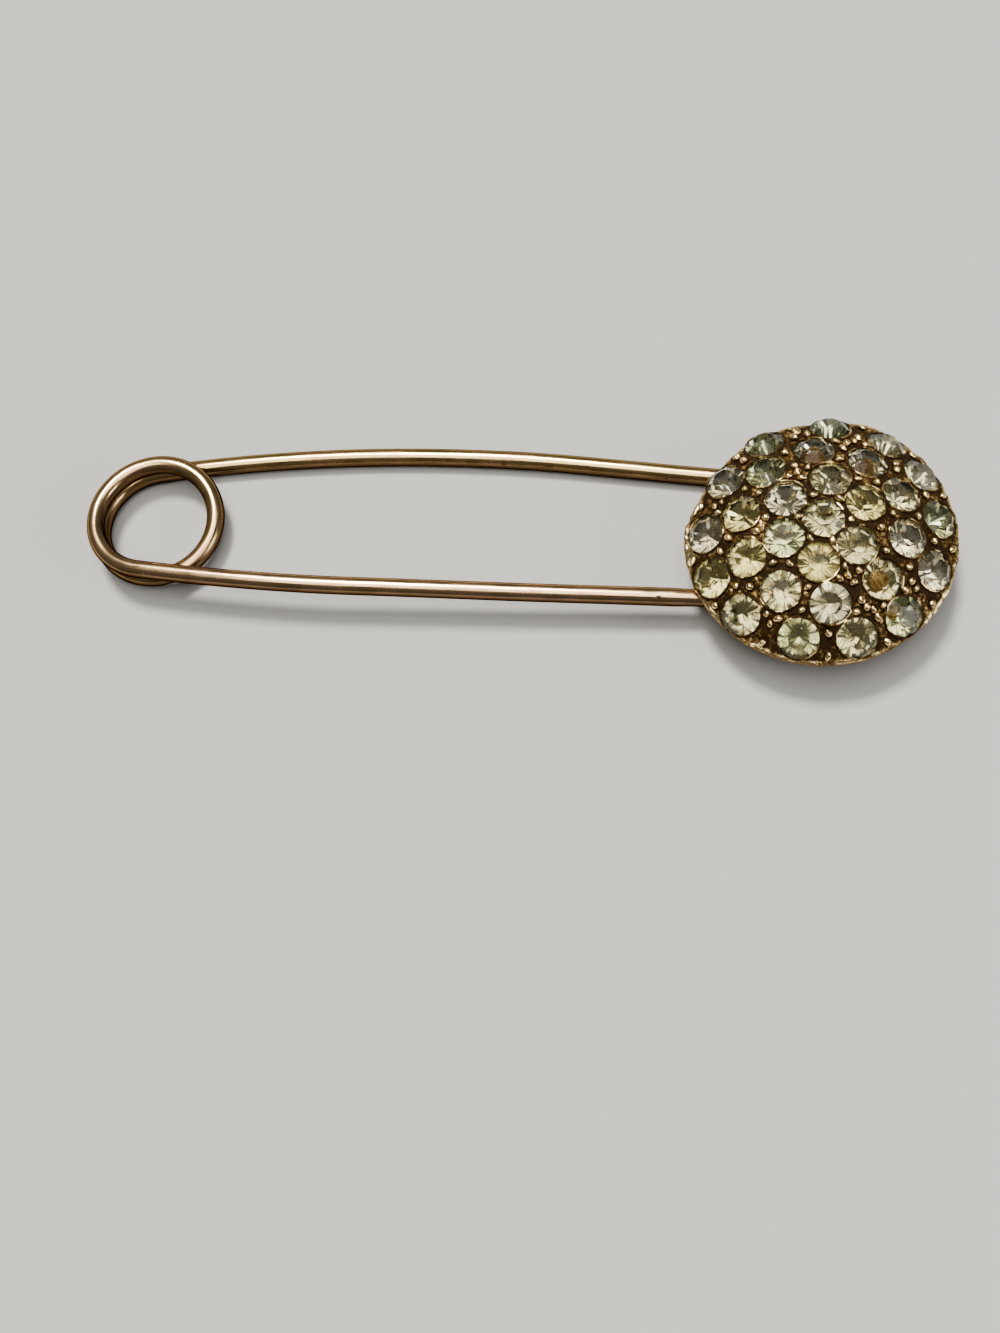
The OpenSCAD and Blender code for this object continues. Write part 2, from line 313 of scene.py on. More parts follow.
def place_object(name, data):
    """A new object in the scene, at the origin."""
    made = bpy.data.objects.new(name, data)
    bpy.context.scene.collection.objects.link(made)
    return made


def new_piece(name, points, faces, materials, slot, attribute, values, smooth=True, sharp=None,
              kinds=None):
    """Makes a piece from an array of points and a list of face arrays. values holds one value of
    the attribute for each point, sharp is the least angle in degrees of an edge that stays sharp,
    and kinds numbers each face's material."""
    mesh = bpy.data.meshes.new(name)
    mesh.from_pydata(points.tolist(), [], [face for group in faces for face in group.tolist()])
    mesh.polygons.foreach_set("use_smooth", np.full(len(mesh.polygons), smooth))
    kind, field = ATTRIBUTES[attribute]
    layer = mesh.attributes.new(attribute, kind, "POINT")
    layer.data.foreach_set(field, np.asarray(values, np.float32).ravel())
    for material in materials:
        mesh.materials.append(material)
    if kinds is not None:
        mesh.polygons.foreach_set("material_index", kinds.astype(np.int32))
    if sharp is not None:
        mesh.set_sharp_from_angle(angle=math.radians(sharp))
    mesh.update()
    piece = place_object(name, mesh)
    return piece


def cast_piece(name, points, faces, finishes, finish, rub, **shading):
    """A piece of the casting, in the named materials. rub says how worn each point is."""
    materials = [aged_gold_material(label, finish) for label in finishes]
    piece = new_piece(name, points, faces, materials, "antique_metal", RUB, rub, **shading)
    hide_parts("setting")
    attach(piece, BODY)
    return piece


# The wire's line

def coil_pitch(w):
    """Rise of the coil in one turn."""
    return 2 * w.radius + w.turn_gap


def half_turn_height(w, k):
    """Height of the middle of the coil's half turn k: each half turn rises by half a pitch."""
    pitch = coil_pitch(w)
    return w.radius + pitch / 4 + k * pitch / 2


def coil_axis_x(w, h):
    """X of the coil's axis: coil and head reach equally far from the origin."""
    return (w.coil_radius + w.radius - h.reach - h.radius) / 2


def leg_line(start, matrix, bow, turn, end_x, step):
    """(points, headings) of a leg of the wire. Before the matrix turns it, it runs from start
    along +X: an arc of radius r = bow / turn, where x = r sin(a) and y = r (1 - cos(a)), and then
    a straight run up to end_x."""
    r = bow / turn
    a = np.linspace(0, turn, max(2, round(bow / step)))
    bend = np.stack([r * np.sin(a), r * (1 - np.cos(a)), 0 * a], -1)
    way = level(a)
    run = (end_x - (start + matrix @ bend[-1])[0]) / (matrix @ way[-1])[0]
    s = np.linspace(0, run, max(2, round(run / step)))[1:, None]
    flat = np.concatenate([bend, bend[-1] + s * way[-1]])
    way = np.concatenate([way, np.repeat(way[-1:], len(s), 0)])
    return start + flat @ matrix.T, way @ matrix.T


def wire_line(w, h):
    """The wire's centre line from the back leg's end, round the coil's three half turns, to the
    stem's tip. Gives (points, headings, ring number of each border between stretches)."""
    centre = np.array([coil_axis_x(w, h), 0, 0])
    lean = about_z(w.leg_lean)
    tilt = math.asin(coil_pitch(w) / 4 / w.coil_radius)
    leg_start = centre + lean @ [0, w.coil_radius * math.cos(tilt), w.radius]
    leg_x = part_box("back_leg")[1].x - w.radius
    points, ways = leg_line(leg_start, lean, w.leg_bow, -w.leg_turn, leg_x, w.ring_step)
    stretches = [(points[::-1], -ways[::-1])]
    north, south = math.pi / 2, 1.5 * math.pi
    stem_exit = south - w.leg_lean - w.stem_lean
    rings_a_step = 1.5
    for k, (start, end) in enumerate(((north, south), (-north, north), (north, stem_exit))):
        plane = lean @ about_x(tilt if k == 1 else -tilt)
        rings = round((end - start) * w.coil_radius / w.ring_step * rings_a_step)
        out = level(np.linspace(start, end, rings))
        lift = centre + [0, 0, half_turn_height(w, k)]
        stretches.append((lift + w.coil_radius * out @ plane.T, np.cross(UP, out) @ plane.T))
    stem_start = stretches[-1][0][-1]
    turn = lean @ about_x(-tilt) @ about_z(stem_exit + math.pi / 2) @ about_x(-w.stem_roll)
    tip_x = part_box("pin_stem")[1].x - w.tip_radius
    stretches.append(leg_line(stem_start, turn, w.stem_bow, w.stem_turn, tip_x, w.ring_step))
    borders = np.cumsum([0] + [len(points) - 1 for points, _ in stretches])
    points = np.concatenate([stretches[0][0]] + [points[1:] for points, _ in stretches[1:]])
    ways = np.concatenate([stretches[0][1]] + [ways[1:] for _, ways in stretches[1:]])
    return points, unit(ways), borders


def finish_end(points, ways, travelled, radii, is_round):
    """The line with its last end finished. A round end gets rings of a half ball, where at angle
    b the ring has radius r cos(b) and stands r sin(b) further on. A flat end, which is hidden,
    gets one more ring a twentieth of a step before it, so that the shading runs on."""
    if is_round:
        b = np.linspace(0, math.pi / 2, BALL_RINGS + 1)[1:-1]
        on = radii[-1] * np.sin(b)
        return (np.concatenate([points, points[-1] + np.outer(on, ways[-1])]),
                np.concatenate([ways, np.repeat(ways[-1:], len(b), 0)]),
                np.concatenate([travelled, travelled[-1] + on]),
                np.concatenate([radii, radii[-1] * np.cos(b)]))
    back = 0.05
    ring = points[-1] - back * np.linalg.norm(points[-2] - points[-1]) * ways[-1]
    way, along, radius = (v[-1] + back * (v[-2] - v[-1]) for v in (ways, travelled, radii))
    return (np.insert(points, -1, ring, 0), np.insert(ways, -1, unit(way), 0),
            np.insert(travelled, -1, along), np.insert(radii, -1, radius))


def reversed_line(points, ways, travelled, radii):
    """The same line run the other way."""
    return points[::-1], -ways[::-1], -travelled[::-1], radii[::-1]


def tube(name, line, w, round_ends, material):
    """A tube round a line of (points, headings, lengths travelled, radii): each ring is
    p + r (cos(a) side + sin(a) up), where up is Z made square to the heading and side is square
    to both. A round end's hub stands a fifth of its last ring's radius on."""
    line = reversed_line(*finish_end(*reversed_line(*line), round_ends[0]))
    points, ways, travelled, radii = finish_end(*line, round_ends[1])
    up = unit(UP - ways * ways[:, 2:3])
    side = np.cross(ways, up)
    a = angles_round(w.sides)
    out = np.cos(a)[None, :, None] * side[:, None] + np.sin(a)[None, :, None] * up[:, None]
    grid = points[:, None] + radii[:, None, None] * out
    straight = np.stack(np.broadcast_arrays(
        travelled[:, None], w.radius * np.cos(a)[None], w.radius * np.sin(a)[None]), -1)
    start, end = (0.2 * is_round for is_round in round_ends)
    hubs = [points[0] - ways[0] * radii[0] * start, points[-1] + ways[-1] * radii[-1] * end]
    straight_hubs = [[travelled[0], 0, 0], [travelled[-1], 0, 0]]
    return new_piece(name, np.concatenate([grid.reshape(-1, 3), hubs]),
                     closed_faces(len(points), w.sides), [material], "wire", WIRE_COORD,
                     np.concatenate([straight.reshape(-1, 3), straight_hubs]), sharp=50)


# The head's shape

def node_middle(name):
    """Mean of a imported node's corners. A cut stone is symmetric, so its axis goes through it."""
    mesh = frame["nodes"][name].data
    corners = np.zeros(len(mesh.vertices) * 3, np.float32)
    mesh.vertices.foreach_get("co", corners)
    return corners.reshape(-1, 3).astype(float).mean(0)


def squares_along(aims):
    """A square frame at each aim: rows across, along and aim, where across is Y cross aim."""
    across = unit(np.cross(np.array([0.0, 1.0, 0.0]), aims))
    return np.stack([across, np.cross(aims, across), aims], 1)


class Dome:
    """The head's cap of a sphere: the place of its axis on the surface, the sphere's centre and
    radius, and the unit vectors from its centre to the stones and to the raised grains."""

    def __init__(self, w, h, st):
        rise = h.dome_height - h.rim_thickness
        self.head = h
        self.seat_radius = st.radius + st.seat_gap
        self.radius = (h.radius ** 2 + rise ** 2) / 2 / rise
        self.axis = np.array([coil_axis_x(w, h) + h.reach, 0, 0])
        self.centre = self.axis + [0, 0, h.rim_height + h.dome_height - self.radius]
        self.aims = unit(np.array([node_middle(name) for name in STONE_NODES]) - self.centre)
        self.grains, self.grain_radii = self.place_grains()

    def outline(self, a):
        """Radius of the edge at azimuth a: the head's radius, but on the back left as far as the
        stones reach and a margin. A stone whose centre stands D out reaches
        D cos(d) + c sqrt(q^2 - D^2 sin(d)^2), for d its azimuth from a, q its seat's radius and
        c the cosine of its lean."""
        h, ramp = self.head, math.radians(14)
        out = np.hypot(self.aims[:, 0], self.aims[:, 1]) * self.radius
        d = a[..., None] - np.arctan2(self.aims[:, 1], self.aims[:, 0])
        chord = np.clip(self.seat_radius ** 2 - (out * np.sin(d)) ** 2, 0, None)
        reach = out * np.cos(d) + self.aims[:, 2] * np.sqrt(chord)
        reach = np.where((np.cos(d) > 0) & (chord > 0), reach, 0).max(-1)
        trimmed = np.clip(reach + h.trim_margin, h.least_radius, h.radius)
        turn = a % TURN
        starting = fade(turn, h.trim_start, h.trim_start + ramp)
        share_trimmed = starting * (1 - fade(turn, h.trim_full, h.trim_end))
        return h.radius + (trimmed - h.radius) * share_trimmed

    def distance(self, ways, aims):
        """Straight distance between places on the sphere, radius times sqrt(2 - 2 cos)."""
        return self.radius * np.sqrt(np.clip(2 - 2 * (ways @ aims.T), 0, None))

    def bare_room(self, ways):
        """Metal between places on the sphere and the nearest seat, measured along the sphere."""
        nearest = np.clip((ways @ self.aims.T).max(1), -1, 1)
        return self.radius * np.arccos(nearest) - self.seat_radius

    def place_grains(self):
        """(aims, radii) of the raised grains: one at the spot equally far from three stones that
        no other stone is nearer to. A wide spot holds three, each moved 0.4 of the way towards
        the gap between two of the stones. One more stands beside the rim between each two
        neighbours of the outer ring."""
        h, aims = self.head, self.aims
        inner_share, rim_share, spread, tolerance = 0.84, 0.945, 0.4, 1e-4
        i, j, k = np.array(list(combinations(range(len(aims)), 3))).T
        spot = unit(np.cross(aims[j] - aims[i], aims[k] - aims[i]))
        spot = spot * np.where(spot[:, 2:] < 0, -1, 1)
        near = spot @ aims.T
        bare = near[np.arange(len(spot)), i] >= near.max(1) - tolerance
        inside = np.hypot(spot[:, 0], spot[:, 1]) * self.radius < inner_share * h.radius
        keep = bare & inside
        spot, i, j, k = spot[keep], i[keep], j[keep], k[keep]
        wide = self.bare_room(spot) > h.wide_room
        moved = [unit(spot + (unit(aims[a] + aims[b]) - spot) * spread)[wide]
                 for a, b in ((i, j), (j, k), (i, k))]
        outer = aims[[name.startswith("stone_outer") for name in STONE_NODES]]
        turn = np.sort(np.arctan2(outer[:, 1], outer[:, 0]))
        middle = turn + np.diff(turn, append=turn[0] + TURN) / 2
        sine = rim_share * self.outline(middle) / self.radius
        beside = sine[:, None] * level(middle) + np.sqrt(1 - sine ** 2)[:, None] * UP
        found = np.concatenate([spot[~wide], *moved, beside])
        return found, np.minimum(h.grain_radius, self.bare_room(found) + h.grain_lap)


# Materials

class Wiring:
    """Short calls that add nodes to one tree and join them."""

    def __init__(self, tree):
        self.tree = tree

    def feed(self, node, values):
        """Sets or links a node's inputs from {input: value or output socket}."""
        for key, value in values.items():
            if isinstance(value, bpy.types.NodeSocket):
                self.tree.links.new(value, node.inputs[key])
            else:
                node.inputs[key].default_value = value

    def add(self, kind, values=None, **options):
        """Adds a node, sets its options and feeds its inputs."""
        node = self.tree.nodes.new("ShaderNode" + kind)
        for key, value in options.items():
            setattr(node, key, value)
        self.feed(node, values or {})
        return node

    def noise(self, vector, scale, detail, roughness):
        values = {"Vector": vector, "Scale": scale, "Detail": detail, "Roughness": roughness}
        return self.add("TexNoise", values).outputs["Fac"]

    def math(self, operation, a, b=0.0, c=0.0, clamp=False):
        values = {0: a, 1: b, 2: c}
        return self.add("Math", values, operation=operation, use_clamp=clamp).outputs[0]

    def ramp(self, value, low, high, to_low=0.0, to_high=1.0):
        """value mapped smoothly from low..high to to_low..to_high."""
        values = {"Value": value, "From Min": low, "From Max": high, "To Min": to_low,
                  "To Max": to_high}
        node = self.add("MapRange", values, interpolation_type="SMOOTHSTEP")
        return node.outputs["Result"]

    def mix(self, share_of_b, a, b):
        """Colour a mixed with colour b."""
        return self.add("Mix", {"Factor": share_of_b, 6: a, 7: b}, data_type="RGBA").outputs[2]


def rgba(value):
    """A colour property as four numbers."""
    return (*value, 1.0)


def new_material(name):
    """(wiring, Principled shader, material)."""
    material = bpy.data.materials.new(name)
    material.use_nodes = True
    tree = material.node_tree
    return Wiring(tree), tree.nodes["Principled BSDF"], material


def aged_gold_group():
    """Cast gold with patina. Rub is 1 where the casting is worn bright and 0 in its hollows,
    Mottle says how much its wear varies from place to place, and Relief how rough its skin is."""
    name = "aged_gold"
    if name in bpy.data.node_groups:
        return bpy.data.node_groups[name]
    group = bpy.data.node_groups.new(name, "ShaderNodeTree")
    sockets = (
        ("INPUT", "Vector", "Vector"), ("INPUT", "Rub", "Float"), ("INPUT", "Gold", "Color"),
        ("INPUT", "Bronze", "Color"), ("INPUT", "Patina", "Color"), ("INPUT", "Mottle", "Float"),
        ("INPUT", "Relief", "Float"), ("OUTPUT", "Color", "Color"),
        ("OUTPUT", "Roughness", "Float"), ("OUTPUT", "Metallic", "Float"),
        ("OUTPUT", "Normal", "Vector"))
    for direction, label, kind in sockets:
        group.interface.new_socket(label, in_out=direction, socket_type="NodeSocket" + kind)
    given = group.nodes.new("NodeGroupInput").outputs
    wires = Wiring(group)
    blotch = wires.noise(given["Vector"], 750.0, 4.0, 0.65)
    grit = wires.noise(given["Vector"], 3800.0, 4.0, 0.7)
    pits = wires.add("TexVoronoi", {"Vector": given["Vector"], "Scale": 3600.0})
    pits = wires.ramp(pits.outputs["Distance"], 0.1, 0.5, 0.0, 0.3)
    uneven = wires.math("ADD", wires.ramp(blotch, 0.3, 0.7, -0.22, 0.22),
                        wires.ramp(grit, 0.35, 0.65, -0.24, 0.24))
    worn = wires.math("MULTIPLY_ADD", uneven, given["Mottle"], given["Rub"], clamp=True)
    low = wires.mix(wires.ramp(worn, 0.15, 0.6), given["Patina"], given["Bronze"])
    height = wires.math("ADD", wires.math("MULTIPLY", grit, 0.7), pits)
    bump = wires.add(
        "Bump", {"Height": height, "Strength": given["Relief"], "Distance": 0.06 * MM})
    wires.feed(group.nodes.new("NodeGroupOutput"), {
        "Color": wires.mix(wires.ramp(worn, 0.45, 0.85), low, given["Gold"]),
        "Roughness": wires.math("ADD", wires.ramp(worn, 0.15, 0.85, 0.66, 0.17),
                                wires.ramp(grit, 0.3, 0.7, -0.06, 0.08)),
        "Metallic": wires.ramp(worn, 0.05, 0.45, 0.15, 1.0),
        "Normal": bump.outputs["Normal"]})
    return group


def aged_gold_material(name, finish):
    """Cast gold whose wear follows the piece's rub attribute."""
    if name in bpy.data.materials:
        return bpy.data.materials[name]
    gold, relief, mottle = CAST_FINISHES[name]
    wires, shader, material = new_material(name)
    aged = wires.add("Group", {
        "Vector": wires.add("TexCoord").outputs["Object"],
        "Rub": wires.add("Attribute", attribute_name=RUB).outputs["Fac"],
        "Gold": rgba(getattr(finish, gold)), "Bronze": rgba(finish.cast_bronze),
        "Patina": rgba(finish.cast_patina), "Relief": relief, "Mottle": mottle,
    }, node_tree=aged_gold_group()).outputs
    wires.feed(shader, {
        "Base Color": aged["Color"], "Roughness": aged["Roughness"],
        "Metallic": aged["Metallic"], "Normal": aged["Normal"],
        "Specular IOR Level": 0.15, "Specular Tint": (0.7, 0.55, 0.42, 1.0)})
    return material


def wire_material(finish):
    """Polished gold wire: fine drawing lines along it, rosy patches, a few specks and dings, painted
    shade that turns it dark brown towards its lower side, and a dark specular tint that darkens its
    edges."""
    wires, shader, material = new_material("polished_gold_wire")
    line = wires.add("Attribute", attribute_name=WIRE_COORD).outputs["Vector"]
    parts = wires.add("SeparateXYZ", {"Vector": line}).outputs
    drawn = wires.add("Mapping", {"Vector": line, "Scale": (0.04, 1.0, 1.0)}).outputs["Vector"]
    lines = wires.noise(drawn, 9000.0, 3.0, 0.6)
    cloud = wires.noise(line, 260.0, 4.0, 0.6)
    specks = wires.noise(line, 2600.0, 2.0, 0.5)
    cells = wires.add("TexVoronoi", {"Vector": line, "Scale": 620.0}).outputs
    chance = wires.add("SeparateColor", {"Color": cells["Color"]}).outputs[0]
    ding = wires.math("MULTIPLY", wires.ramp(cells["Distance"], 0.06, 0.17, 1.0, 0.0),
                      wires.math("GREATER_THAN", chance, 0.8))
    rosy = wires.ramp(parts["X"], 70 * MM, 125 * MM)
    dull = wires.math("MULTIPLY", wires.ramp(cloud, 0.4, 0.7), 0.7)
    dull = wires.math(
        "MAXIMUM", dull, wires.math("MULTIPLY", wires.ramp(specks, 0.66, 0.76), 0.9))
    dull = wires.math("MAXIMUM", dull, wires.math("MULTIPLY", ding, 0.8))
    # Painted shade: the base colour turns dark brown towards the wire's lower side, standing in for
    # shade and the reflection of dark surroundings
    edge = wires.math(
        "ADD", parts["Z"], wires.ramp(cloud, 0.3, 0.7, -0.09 * MM, 0.09 * MM))
    painted_shade = wires.ramp(edge, 0.22 * MM, 0.8 * MM, 0.95, 0.0)
    tone = wires.mix(rosy, rgba(finish.wire_gold), rgba(finish.wire_rose))
    tone = wires.mix(dull, tone, rgba(finish.wire_tarnish))
    height = wires.math("SUBTRACT", wires.math("MULTIPLY", lines, 0.12), ding)
    bump = wires.add("Bump", {"Height": height, "Strength": 1.0, "Distance": 0.02 * MM})
    wires.feed(shader, {
        "Base Color": wires.mix(painted_shade, tone, rgba(finish.wire_shade)),
        "Roughness": wires.math("ADD", wires.ramp(cloud, 0.35, 0.75, 0.15, 0.28),
                                wires.ramp(lines, 0.3, 0.7, -0.03, 0.05)),
        "Metallic": 1.0, "Normal": bump.outputs["Normal"],
        # Painted shade: this dark specular tint darkens the wire's reflections at grazing angles,
        # along its edges
        "Specular Tint": (0.07, 0.04, 0.025, 1.0)})
    return material


def glass_material():
    """Clear champagne glass with a faint film, its tone from the stone's tint attribute."""
    wires, shader, material = new_material("champagne_glass")
    film = wires.noise(wires.add("TexCoord").outputs["Object"], 900.0, 3.0, 0.6)
    wires.feed(shader, {
        "Base Color": wires.add("Attribute", attribute_name=TINT).outputs["Color"],
        "Roughness": wires.ramp(film, 0.45, 0.75, 0.0, 0.02),
        "Metallic": 0.0, "Transmission Weight": 1.0, "IOR": 1.56,
        "Specular Tint": (0.28, 0.25, 0.23, 1.0)})
    return material


def foil_material(finish):
    """Silver foil on a stone's pavilion, aged in soft patches."""
    wires, shader, material = new_material("stone_foil")
    age = wires.noise(wires.add("TexCoord").outputs["Object"], 800.0, 3.0, 0.6)
    stain = wires.ramp(age, 0.45, 0.75, 0.0, 0.7)
    wires.feed(shader, {
        "Base Color": wires.mix(stain, rgba(finish.foil), rgba(finish.foil_stain)),
        "Roughness": wires.ramp(age, 0.4, 0.8, 0.1, 0.27), "Metallic": 1.0})
    return material


# Pieces

def wire_pieces(w, h, finish):
    """The wire's five stretches, cut at shared rings: the leg, the coil's three half turns and
    the stem. The radius falls straight to the tip's over the point's taper. Away from both ends
    the line sways by ripples along it."""
    points, ways, borders = wire_line(w, h)
    steps = np.linalg.norm(np.diff(points, axis=0), axis=1)
    travelled = np.concatenate([[0], np.cumsum(steps)])
    left = travelled[-1] - travelled
    radii = w.tip_radius + (w.radius - w.tip_radius) * np.clip(left / w.point_length, 0, 1)
    free = fade(travelled, 0, 10 * MM) * fade(left, 0, 20 * MM)
    line = travelled[:, None] * [1, 0, 0]
    sway = [ripple(line, 13 * MM, seed=3), ripple(line, 17 * MM, seed=4), 0 * travelled]
    points = points + w.wander * free[:, None] * np.stack(sway, -1)
    material = wire_material(finish)
    made = []
    names = ("back_leg_wire", "coil_low_half", "coil_middle_half", "coil_top_half",
             "pin_stem_wire")
    for n, name in enumerate(names):
        span = slice(borders[n], borders[n + 1] + 1)
        stretch = (points[span], ways[span], travelled[span], radii[span])
        made.append(tube(name, stretch, w, (n == 0, n == len(names) - 1), material))
    leg, low, middle, top, stem = made
    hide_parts("back_leg")
    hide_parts("pin_stem")
    for half in (low, middle, top):
        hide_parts("coil")
    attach(leg, BODY)
    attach(low, BODY)
    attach(top, MOVING)
    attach(stem, MOVING)
    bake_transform(middle)


def dome_top(dome, h, st, a, edge):
    """(points, rub, depth of the deepest pit) of the dome's outside, in rings from its top to
    its edge: the sphere's cap raised by ripples and along its lip, lowered round each grain and
    sunk under each stone. It is rubbed in patches, least beside the stones and the grains, most
    along the lip and on one gilded stretch of it."""
    t = (np.arange(TOP_RINGS) + 1)[:, None] / TOP_RINGS
    way = leaning(t * np.arcsin(edge / dome.radius), a)
    place = dome.centre + dome.radius * way
    from_stone = dome.distance(way, dome.aims).min(-1)
    from_grain = (dome.distance(way, dome.grains) - dome.grain_radii).min(-1)
    at_lip = fade(t, 0.965, 0.99)
    skin = h.roughcast * (0.5 * ripple(place, 1.5 * MM, seed=11)
                          + 0.5 * ripple(place, 0.45 * MM, seed=12))
    skin -= 0.05 * MM * (1 - fade(from_grain, 0.0, 0.2 * MM))
    skin += at_lip * 0.05 * MM * (1 + ripple(place, 0.9 * MM, seed=13))
    pit_edge, pit_slope = 0.28 * MM, st.pavilion + 0.1 * MM
    pit = pit_edge + pit_slope * (1 - np.clip(from_stone / dome.seat_radius, 0, 1))
    open_metal = from_stone >= dome.seat_radius
    rub = 0.2 + 0.2 * ripple(place, 2.0 * MM, seed=14) + 0.14 * ripple(place, 0.6 * MM, seed=18)
    from_seat = from_stone - dome.seat_radius
    rub -= 0.2 * (1 - fade(from_seat, 0.08 * MM, 0.4 * MM))
    rub -= 0.25 * (1 - fade(from_grain, 0.0, 0.18 * MM))
    rub += (0.56 + 0.3 * ripple(place, 0.9 * MM, seed=19)) * at_lip
    gilded_azimuth, half, faded = (math.radians(degrees) for degrees in (189, 6, 11))
    gilded = (1 - fade(np.abs(a - gilded_azimuth), half, faded)) * fade(t, 0.86, 0.93)
    rub = np.where(open_metal, np.clip(rub + 0.7 * gilded, 0, 1), 0.0)
    skin += gilded * 0.06 * MM * ripple(place, 0.4 * MM, seed=20)
    height = np.where(open_metal, skin, -pit)
    return place + height[..., None] * way, rub, pit.max()


def dome_rim(dome, h, a, edge, torn, top_z):
    """(points, rub) of the rim's side, in rings from the dome's edge down: a low belly with
    ripples, rubbed most in places along its foot."""
    drop = (np.arange(RIM_RINGS) + 1)[:, None] / RIM_RINGS
    z = top_z + (h.rim_height + 0.04 * MM * torn - top_z) * drop
    round_rim = np.stack(np.broadcast_arrays(a * h.radius, 0 * a, z), -1)
    belly = edge + 0.03 * MM * np.sin(math.pi * drop)
    belly = belly + 0.015 * MM * ripple(round_rim, 0.5 * MM, seed=23)
    flat = dome.axis[:2] + belly[..., None] * level(a)[:, :2]
    rim = np.concatenate([flat, z[..., None]], -1)
    rub = 0.6 + 0.16 * ripple(rim, 1.3 * MM, seed=24)
    rub += 0.3 * fade(drop, 0.6, 0.9) * fade(ripple(rim, 1.4 * MM, seed=26), -0.2, 0.5)
    return rim, rub


def dome_hollow(dome, h, a):
    """Points of the hollow, in rings from the rim's foot up: a smaller cap with ripples."""
    radius = dome.radius - h.wall
    foot = math.acos((h.rim_height - dome.centre[2]) / radius)
    way = leaning(np.linspace(foot, 0, HOLLOW_RINGS + 1)[:-1, None], a)
    inside = dome.centre + radius * way
    inside = inside - (h.roughcast * ripple(inside, 2.2 * MM, seed=17))[..., None] * way
    inside[0, :, 2] = h.rim_height
    return inside


def dome_piece(dome, h, st, finish):
    """The dome, a closed shell: its outside, the rim's side, a flat ring below it and the
    hollow. Ripples make the edge uneven."""
    a = angles_round(DOME_SIDES)
    foot = dome.axis + h.radius * level(a)
    torn = 1 + (ripple(foot, 1.6 * MM, seed=15) + 0.6 * ripple(foot, 0.55 * MM, seed=16)) / 1.6
    edge = dome.outline(a) - 0.05 * MM * torn
    top, top_rub, pit = dome_top(dome, h, st, a, edge)
    rim, rim_rub = dome_rim(dome, h, a, edge, torn, top[-1, :, 2])
    hollow = dome_hollow(dome, h, a)
    apexes = [dome.centre + [0, 0, dome.radius - pit], dome.centre + [0, 0, dome.radius - h.wall]]
    points = np.concatenate([np.concatenate([top, rim, hollow]).reshape(-1, 3), apexes])
    hollow_rub = np.full(HOLLOW_RINGS * DOME_SIDES, 0.5)
    rub = np.concatenate([top_rub.ravel(), rim_rub.ravel(), hollow_rub, [0, 0.5]])
    rings = TOP_RINGS + RIM_RINGS + HOLLOW_RINGS
    groups = np.array([TOP_RINGS - 1, rings - TOP_RINGS, 1, 1])
    cast_piece("setting_dome", points, closed_faces(rings, DOME_SIDES),
               ("cast_dome", "cast_back"), finish, rub, sharp=50,
               kinds=np.repeat([0, 1, 0, 1], groups * DOME_SIDES))


def collar_piece(dome, h, st, finish):
    """The raised edges round the stones: one closed profile carried round each seat, its height
    changed by ripples so that the edge comes and goes as on a casting. What would hang over the
    head's edge is drawn in to it."""
    squares = squares_along(dome.aims)
    circle = np.einsum("as,nsk->nak", level(angles_round(COLLAR_SIDES))[:, :2], squares[:, :2])
    foot = dome.centre + dome.radius * squares[:, None, 2] + st.radius * circle
    strength = fade(ripple(foot, 1.5 * MM, seed=21), -0.5, 0.5)[..., None]
    bright = fade(ripple(foot, 1.5 * MM, seed=25), 0.1, 0.6)[..., None]
    shift = 0.03 * MM * ripple(foot, 0.7 * MM, seed=22)[..., None]
    width, height, fixed, wear = COLLAR_PROFILE.T
    rise = h.collar_height * height * (0.3 + 0.7 * strength) + MM * fixed + shift * (height > 0)
    out = st.radius + h.collar_width * width + shift * (width > 0.5)
    points = (dome.centre + (dome.radius + rise)[..., None] * squares[:, None, None, 2]
              + out[..., None] * circle[:, :, None])
    flat = points[..., :2] - dome.axis[:2]
    limit = dome.outline(np.arctan2(flat[..., 1], flat[..., 0])) - 0.1 * MM
    drawn_in = np.minimum(1, limit / np.hypot(flat[..., 0], flat[..., 1]))
    points[..., :2] = dome.axis[:2] + flat * drawn_in[..., None]
    across = len(COLLAR_PROFILE)
    one = ring_faces(COLLAR_SIDES + 1, across) % (COLLAR_SIDES * across)
    cast_piece("setting_collars", points.reshape(-1, 3),
               [repeated(one, len(squares), COLLAR_SIDES * across)], ("cast_relief",), finish,
               wear * (0.12 + 0.88 * bright), sharp=60)


def grain_piece(dome, h, finish):
    """The raised grains: balls a little longer one way than the other, with a rippled skin, half
    sunk in the dome and worn bright on top."""
    rng = np.random.default_rng(31)
    b = (np.arange(GRAIN_RINGS) + 1)[:, None] / (GRAIN_RINGS + 1) * math.pi
    ball = leaning(b, angles_round(GRAIN_SIDES)).reshape(-1, 3)
    ball = np.concatenate([ball, [UP, -UP]])
    count = len(dome.grains)
    spin = rng.uniform(0, math.pi, count)
    stretch = rng.uniform(1.0, 1.3, count)
    radii = dome.grain_radii * rng.uniform(0.8, 1.05, count)
    tall = rng.uniform(0.8, 1.1, count)
    c, s = np.cos(spin), np.sin(spin)
    turn = np.stack([np.stack([c, -s], -1), np.stack([s, c], -1)], 1)
    scale = np.stack([stretch, 1 / stretch], -1)
    flat = np.einsum("nij,nj,pj->npi", turn, scale, ball[:, :2])
    local = np.concatenate([flat, tall[:, None, None] * ball[None, :, 2:]], -1)
    local = np.einsum("npi,nik->npk", local * radii[:, None, None], squares_along(dome.grains))
    middle = (dome.centre + (dome.radius + h.grain_rise) * dome.grains)[:, None]
    skin = 1 + 0.12 * ripple(middle + local, 0.4 * MM, seed=32)
    points = middle + local * skin[..., None]
    rub = fade(ball[:, 2], -0.05, 0.6) * rng.uniform(0.78, 1.05, count)[:, None] + 0.05
    faces = [repeated(group, count, len(ball)) for group in closed_faces(GRAIN_RINGS, GRAIN_SIDES)]
    cast_piece("setting_grains", points.reshape(-1, 3), faces, ("cast_relief",), finish, rub)


